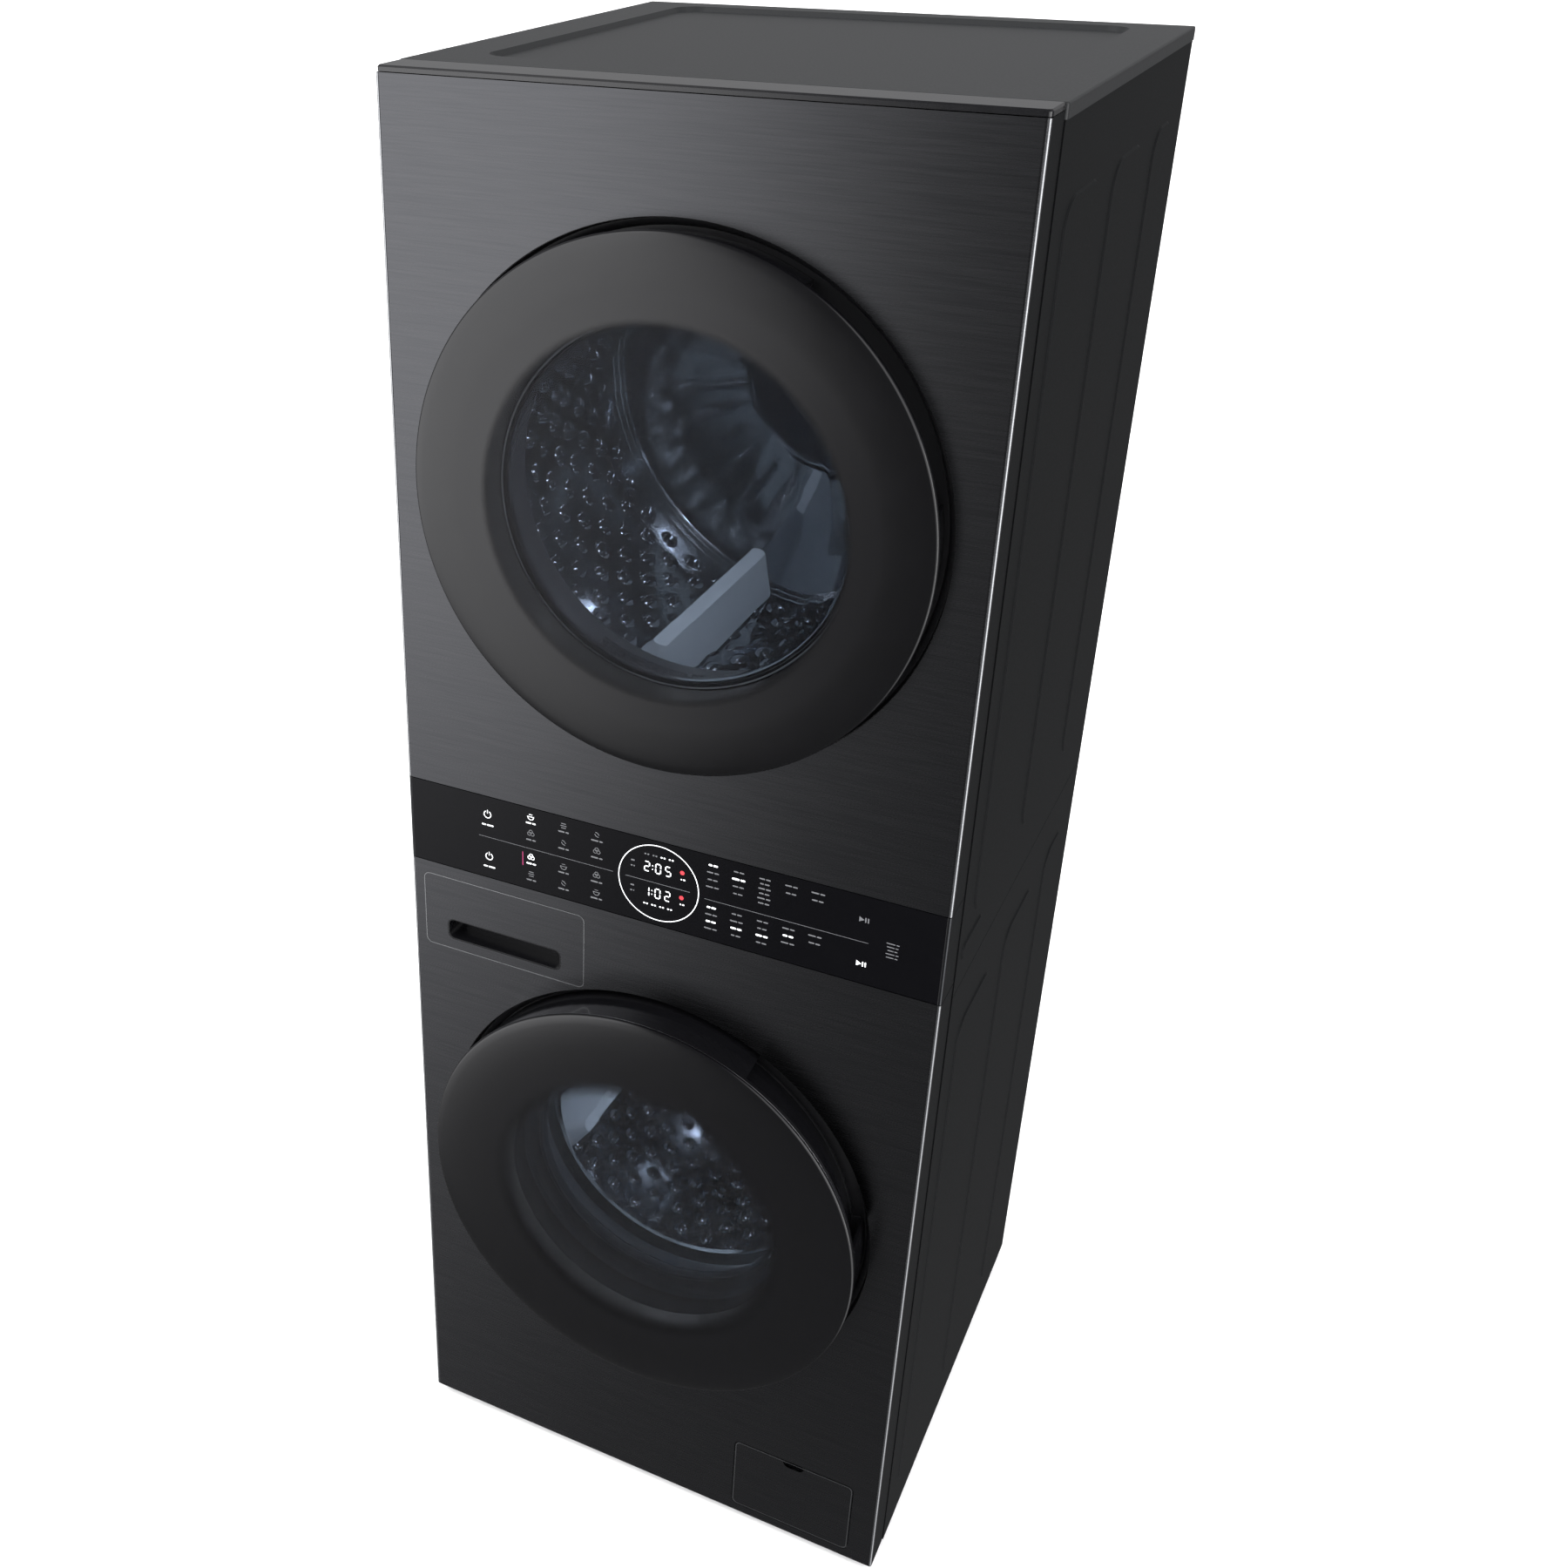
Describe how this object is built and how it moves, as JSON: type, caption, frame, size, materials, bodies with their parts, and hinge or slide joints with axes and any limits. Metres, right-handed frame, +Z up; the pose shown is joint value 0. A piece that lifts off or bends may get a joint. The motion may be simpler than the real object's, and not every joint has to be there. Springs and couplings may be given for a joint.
{
  "type": "washer dryer stack",
  "caption": "Laundry tower with a front-loading washer below, a tumble dryer above, round glass doors and one control panel between them.",
  "frame": {"origin": "on the floor, at the centre of the bounding box's base", "axes": "+X to the right of someone facing the front, +Y to the back, +Z up"},
  "size_m": [0.6, 0.66, 1.655],
  "materials": {
    "black_steel": "horizontal brushed, dark film coat",
    "cabinet_paint": "fine satin paint",
    "galvanised": "zinc coated sheet",
    "black_glass": "polished black glass",
    "door_glass": "tinted tempered glass",
    "clear_glass": "clear pressed glass",
    "dark_plastic": "moulded, fine texture",
    "light_plastic": "moulded polypropylene",
    "drum_steel": "stainless sheet",
    "grey_rubber": "moulded rubber",
    "concrete": "cast concrete",
    "cast_aluminium": "as cast",
    "plain_steel": "zinc plated steel"
  },
  "bodies": {
    "cabinet": {"base_pan": "dark_plastic", "compressor": "plain_steel", "control_glass": "black_glass", "control_housing": "dark_plastic", "counterweights": "concrete", "dampers": "plain_steel", "dispenser_housing": "dark_plastic", "door_gasket": "grey_rubber", "door_locks": "plain_steel", "drain_pump": "light_plastic", "dryer_back_panel": "galvanised", "dryer_belt": "grey_rubber", "dryer_door_frame": "dark_plastic", "dryer_front_panel": "black_steel", "dryer_motor": "plain_steel", "dryer_rear_bulkhead": "galvanised", "dryer_side_left": "cabinet_paint", "dryer_side_right": "cabinet_paint", "heat_exchanger": "cast_aluminium", "hinge_brackets": "plain_steel", "inlet_valves": "light_plastic", "levelling_feet": "dark_plastic", "motor_stator": "plain_steel", "stacking_shelf": "galvanised", "suspension_springs": "plain_steel", "top_front_trim": "dark_plastic", "top_plate": "cabinet_paint", "tub_bearings": "plain_steel", "tub_front": "light_plastic", "tub_rear": "light_plastic", "washer_back_panel": "galvanised", "washer_door_frame": "dark_plastic", "washer_front_panel": "black_steel", "washer_side_left": "cabinet_paint", "washer_side_right": "cabinet_paint"},
    "washer_drum": {"washer_drum": "drum_steel", "drum_spider": "cast_aluminium", "washer_lifters": "light_plastic", "motor_rotor": "plain_steel"},
    "dryer_drum": {"dryer_drum": "drum_steel", "dryer_lifters": "light_plastic"},
    "dryer_rotor": {"motor_shaft": "plain_steel", "blower_wheel": "light_plastic"},
    "washer_door": {"washer_door_glass": "door_glass", "washer_door_ring": "dark_plastic", "washer_door_back_ring": "dark_plastic", "washer_door_bowl": "clear_glass", "washer_door_hinge_arm": "plain_steel", "washer_door_latch_hook": "plain_steel"},
    "dryer_door": {"dryer_door_glass": "door_glass", "dryer_door_ring": "dark_plastic", "dryer_door_back_ring": "dark_plastic", "dryer_door_bowl": "clear_glass", "dryer_door_hinge_arm": "plain_steel", "dryer_door_latch_hook": "plain_steel"},
    "detergent_drawer": {"drawer_front": "black_steel", "drawer_tray": "light_plastic"},
    "service_flap": {"service_flap": "black_steel"},
    "pump_filter": {"pump_filter": "light_plastic"},
    "lint_filter": {"lint_filter": "dark_plastic"}
  },
  "joints": [
    {"name": "washer_door_hinge", "type": "hinge", "parent": "cabinet", "child": "washer_door", "pos_m": [-0.236, -0.313, 0.482], "axis": [0, 0, -1], "range_deg": [0, 120]},
    {"name": "dryer_door_hinge", "type": "hinge", "parent": "cabinet", "child": "dryer_door", "pos_m": [-0.236, -0.295, 1.288], "axis": [0, 0, -1], "range_deg": [0, 120]},
    {"name": "detergent_drawer_slide", "type": "slide", "parent": "cabinet", "child": "detergent_drawer", "axis": [0, -1, 0], "range_m": [0, 0.2]},
    {"name": "service_flap_hinge", "type": "hinge", "parent": "cabinet", "child": "service_flap", "pos_m": [0.1933, -0.278, 0.0319], "axis": [1, 0, 0], "range_deg": [0, 90]},
    {"name": "pump_filter_turn", "type": "hinge", "parent": "cabinet", "child": "pump_filter", "pos_m": [0.205, -0.24, 0.078], "axis": [0, -1, 0], "range_deg": [0, 180]},
    {"name": "washer_drum_spin", "type": "hinge", "parent": "cabinet", "child": "washer_drum", "pos_m": [0, 0, 0.482], "axis": [0, 1, 0], "continuous": true},
    {"name": "dryer_drum_spin", "type": "hinge", "parent": "cabinet", "child": "dryer_drum", "pos_m": [0, 0, 1.288], "axis": [0, 1, 0], "continuous": true},
    {"name": "dryer_rotor_spin", "type": "hinge", "parent": "cabinet", "child": "dryer_rotor", "pos_m": [-0.165, 0, 0.925], "axis": [0, 1, 0], "continuous": true},
    {"name": "lint_filter_slide", "type": "slide", "parent": "cabinet", "child": "lint_filter", "axis": [0, 0, 1], "range_m": [0, 0.1]}
  ],
  "couplings": [
    {"joint": "dryer_rotor_spin", "follows": "dryer_drum_spin", "ratio": 17.188}
  ]
}
